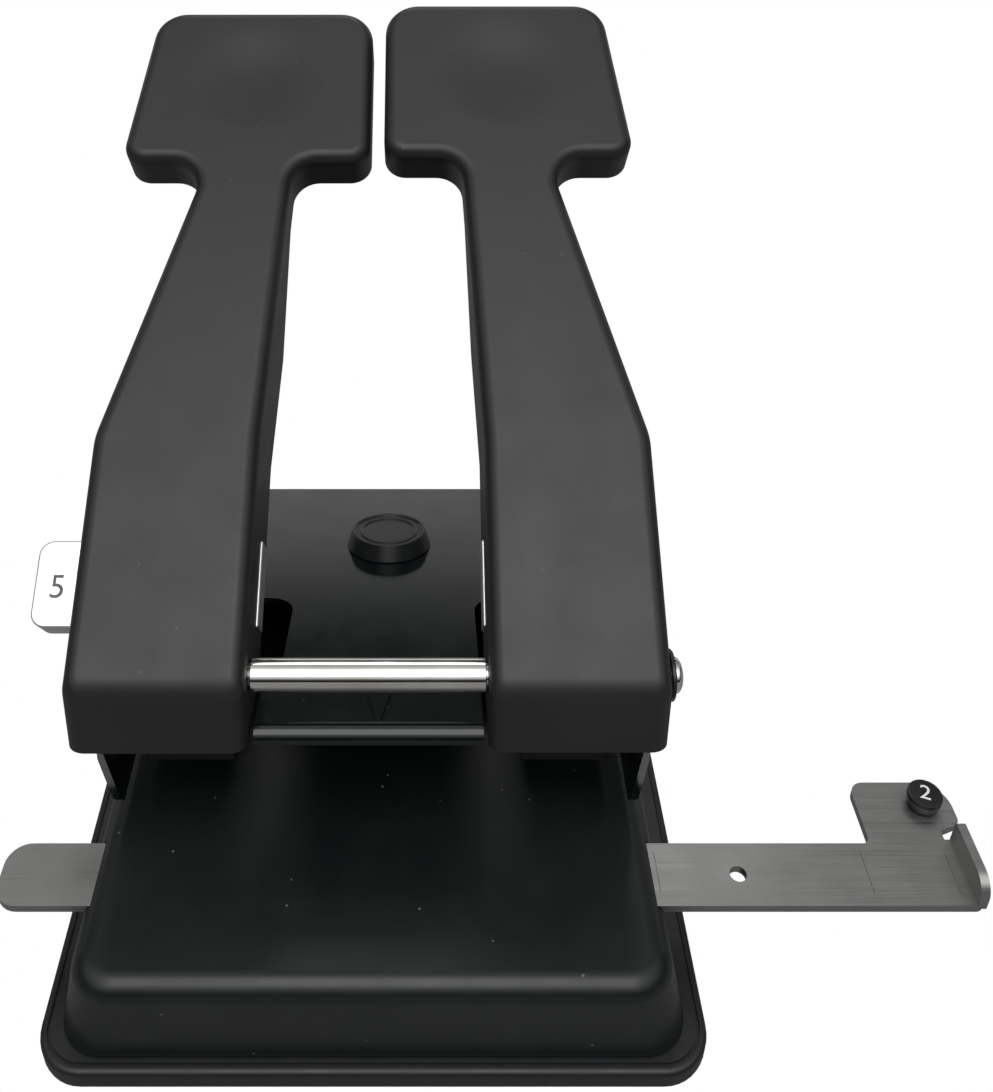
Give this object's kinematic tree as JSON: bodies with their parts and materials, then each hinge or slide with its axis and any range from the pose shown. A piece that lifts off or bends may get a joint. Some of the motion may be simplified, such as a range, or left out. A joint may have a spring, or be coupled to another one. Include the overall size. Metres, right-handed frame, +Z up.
{
  "type": "two-hole paper punch",
  "caption": "Desk punch for two holes with two long hand levers on one shaft, a wedge frame on a pressed base, a sliding paper gauge and a chip tray",
  "frame": {"origin": "middle of the punch between its two levers, on the underside of the tray", "axes": "+X to the gauge's tab, +Y to the rear where the levers' pads are, +Z up"},
  "size_m": [0.1983, 0.1728, 0.1619],
  "materials": {
    "tray_rubber": "matt black",
    "cover_paint": "satin black",
    "frame_paint": "gloss black",
    "lever_paint": "satin black",
    "housing_paint": "satin black",
    "black_plastic": "fine matt",
    "bright_steel": "ground",
    "gauge_steel": "brushed",
    "chrome": "polished",
    "spring_steel": "drawn wire"
  },
  "bodies": {
    "root": {"base_tray": "tray_rubber", "base_cover": "cover_paint", "die_bush_left": "bright_steel", "die_bush_right": "bright_steel", "frame": "frame_paint", "frame_cap": "black_plastic", "frame_rivet_left_front": "bright_steel", "frame_rivet_left_rear": "bright_steel", "frame_rivet_right_front": "bright_steel", "frame_rivet_right_rear": "bright_steel", "gauge_friction_spring": "spring_steel", "gauge_guide": "bright_steel", "housing_screw_left": "bright_steel", "housing_screw_right": "bright_steel", "main_shaft": "chrome", "punch_housing_left": "housing_paint", "punch_housing_right": "housing_paint", "return_spring_left": "spring_steel", "return_spring_right": "spring_steel", "shaft_screw": "chrome", "shaft_washer": "black_plastic", "spacer_tube": "chrome"},
    "lever_left": {"lever_left": "lever_paint", "lever_bush_left": "bright_steel"},
    "lever_right": {"lever_right": "lever_paint", "lever_bush_right": "bright_steel", "presser_bar_right": "bright_steel"},
    "presser_left": {"presser_bar_left": "bright_steel"},
    "punch_left": {"punch_pin_left": "bright_steel"},
    "punch_right": {"punch_pin_right": "bright_steel"},
    "gauge": {"gauge_bar": "gauge_steel", "gauge_knob": "black_plastic", "knob_stem": "bright_steel"}
  },
  "joints": [
    {"name": "lever_left_hinge", "type": "hinge", "parent": "root", "child": "lever_left", "pos_m": [-0.04, -0.033, 0.0675], "axis": [-1, 0, 0], "range_deg": [0, 27], "stiffness_Nm_per_rad": 0.6, "springref_deg": -51.57},
    {"name": "lever_right_hinge", "type": "hinge", "parent": "root", "child": "lever_right", "pos_m": [0.04, -0.033, 0.0675], "axis": [-1, 0, 0], "range_deg": [0, 27], "stiffness_Nm_per_rad": 0.6, "springref_deg": -51.57},
    {"name": "punch_left_slide", "type": "slide", "parent": "root", "child": "punch_left", "axis": [0, 0, -1], "range_m": [0, 0.008], "deforming": ["return_spring_left"]},
    {"name": "punch_right_slide", "type": "slide", "parent": "root", "child": "punch_right", "axis": [0, 0, -1], "range_m": [0, 0.008], "deforming": ["return_spring_right"]},
    {"name": "gauge_slide", "type": "slide", "parent": "root", "child": "gauge", "axis": [1, 0, 0], "range_m": [-0.042, 0.017]},
    {"name": "presser_left_slide", "type": "slide", "parent": "lever_left", "child": "presser_left", "axis": [1, 0, 0], "range_m": [0, 0.01]}
  ],
  "couplings": [
    {"joint": "punch_left_slide", "follows": "lever_left_hinge", "m_per_rad": 0.0166},
    {"joint": "punch_right_slide", "follows": "lever_right_hinge", "m_per_rad": 0.0166}
  ]
}
